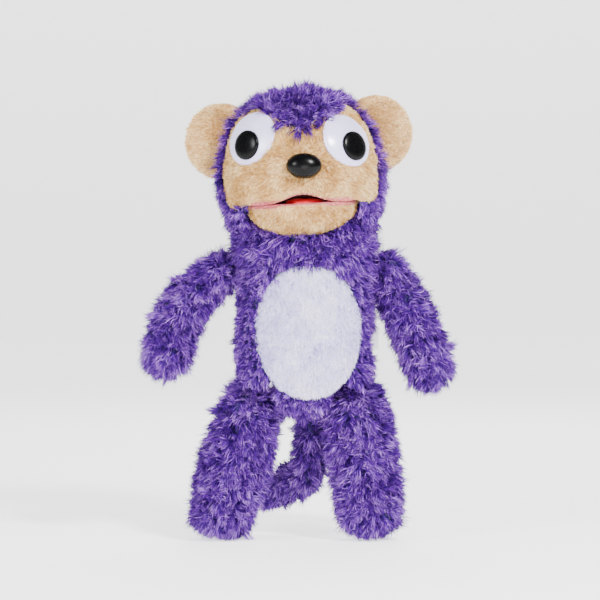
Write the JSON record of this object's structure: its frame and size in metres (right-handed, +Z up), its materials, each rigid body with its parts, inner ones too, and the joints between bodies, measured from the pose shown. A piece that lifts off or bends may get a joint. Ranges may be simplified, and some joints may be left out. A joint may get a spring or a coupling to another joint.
{
  "type": "moving mouth hand puppet",
  "caption": "Long-pile plush monkey hand puppet with a moving mouth, hand sleeve in the back, swinging arms, legs and tail.",
  "frame": {"origin": "centre of the hand sleeve's mouth, at the back of the torso", "axes": "+Z up, the puppet faces -Y, and its own left side is +X"},
  "size_m": [0.268, 0.1793, 0.3912],
  "materials": {
    "purple_plush": "long curly pile",
    "white_plush": "short pile",
    "polyester_filling": "loose fibre",
    "lining_cloth": "plain woven",
    "label_tape": "satin tape",
    "cream_plush": "short pile",
    "red_lining": "brushed knit",
    "mouth_board": "pressed board",
    "black_plastic": "moulded, polished",
    "washer_plastic": "moulded",
    "white_plastic": "moulded, polished"
  },
  "bodies": {
    "torso": {"torso_front_panel": "purple_plush", "belly_patch": "white_plush", "torso_back_panel": "purple_plush", "glove_lining": "lining_cloth", "sleeve_cuff": "lining_cloth", "care_label": "label_tape", "front_padding": "polyester_filling", "back_padding": "polyester_filling"},
    "neck": {"neck_panel": "purple_plush", "throat_panel": "purple_plush", "neck_lining": "lining_cloth"},
    "head": {"head_cap": "purple_plush", "face_panel": "cream_plush", "upper_palate": "red_lining", "upper_mouth_board": "mouth_board", "mouth_fold": "red_lining", "finger_pocket": "lining_cloth", "nose": "black_plastic", "nose_washer": "washer_plastic", "eye_left": "white_plastic", "pupil_left": "black_plastic", "eye_washer_left": "washer_plastic", "eye_right": "white_plastic", "pupil_right": "black_plastic", "eye_washer_right": "washer_plastic", "ear_left_front": "cream_plush", "ear_left_back": "cream_plush", "ear_left_wadding": "polyester_filling", "ear_right_front": "cream_plush", "ear_right_back": "cream_plush", "ear_right_wadding": "polyester_filling", "head_filling_left": "polyester_filling", "head_filling_right": "polyester_filling"},
    "jaw": {"chin_panel": "cream_plush", "lower_palate": "red_lining", "lower_mouth_board": "mouth_board", "tongue": "red_lining", "thumb_pocket": "lining_cloth", "chin_padding": "polyester_filling"},
    "shoulder_left": {"shoulder_gather_left": "purple_plush"},
    "shoulder_right": {"shoulder_gather_right": "purple_plush"},
    "arm_left": {"arm_left_skin": "purple_plush", "arm_left_filling": "polyester_filling"},
    "arm_right": {"arm_right_skin": "purple_plush", "arm_right_filling": "polyester_filling"},
    "leg_left": {"hip_gather_left": "purple_plush", "leg_left_skin": "purple_plush", "leg_left_filling": "polyester_filling", "leg_left_sole": "purple_plush"},
    "leg_right": {"hip_gather_right": "purple_plush", "leg_right_skin": "purple_plush", "leg_right_filling": "polyester_filling", "leg_right_sole": "purple_plush"},
    "tail": {"tail_gather": "purple_plush", "tail_skin": "purple_plush", "tail_filling": "polyester_filling"}
  },
  "joints": [
    {"name": "neck_turn", "type": "hinge", "parent": "torso", "child": "neck", "pos_m": [0, -0.066, 0.06404], "axis": [0, 0, 1], "range_deg": [-30, 30]},
    {"name": "head_nod", "type": "hinge", "parent": "neck", "child": "head", "pos_m": [0, -0.061, 0.08604], "axis": [-1, 0, 0], "range_deg": [-12, 20], "deforming": ["neck_panel", "throat_panel"]},
    {"name": "jaw_open", "type": "hinge", "parent": "head", "child": "jaw", "pos_m": [-0.00152, -0.084, 0.115], "axis": [0.9986, 0, 0.0523], "range_deg": [-2, 30], "deforming": ["throat_panel"]},
    {"name": "shoulder_left_swing", "type": "hinge", "parent": "torso", "child": "shoulder_left", "pos_m": [0.073, -0.066, 0.05504], "axis": [-1, 0, 0], "range_deg": [-30, 115], "stiffness_Nm_per_rad": 0.02},
    {"name": "shoulder_left_raise", "type": "hinge", "parent": "shoulder_left", "child": "arm_left", "pos_m": [0.073, -0.066, 0.05504], "axis": [0, -1, 0], "range_deg": [-8, 75], "stiffness_Nm_per_rad": 0.05},
    {"name": "shoulder_right_swing", "type": "hinge", "parent": "torso", "child": "shoulder_right", "pos_m": [-0.073, -0.066, 0.05504], "axis": [-1, 0, 0], "range_deg": [-30, 115], "stiffness_Nm_per_rad": 0.02},
    {"name": "shoulder_right_raise", "type": "hinge", "parent": "shoulder_right", "child": "arm_right", "pos_m": [-0.073, -0.066, 0.05504], "axis": [0, 1, 0], "range_deg": [-8, 65], "stiffness_Nm_per_rad": 0.05},
    {"name": "hip_left_swing", "type": "hinge", "parent": "torso", "child": "leg_left", "pos_m": [0.048, -0.066, -0.07096], "axis": [-1, 0, 0], "range_deg": [-12, 85], "stiffness_Nm_per_rad": 0.03},
    {"name": "hip_right_swing", "type": "hinge", "parent": "torso", "child": "leg_right", "pos_m": [-0.048, -0.066, -0.07096], "axis": [-1, 0, 0], "range_deg": [-6, 85], "stiffness_Nm_per_rad": 0.03},
    {"name": "tail_wag", "type": "hinge", "parent": "torso", "child": "tail", "pos_m": [0.007, -0.042, -0.08656], "axis": [0, 0, -1], "range_deg": [-8, 30], "stiffness_Nm_per_rad": 0.01}
  ]
}
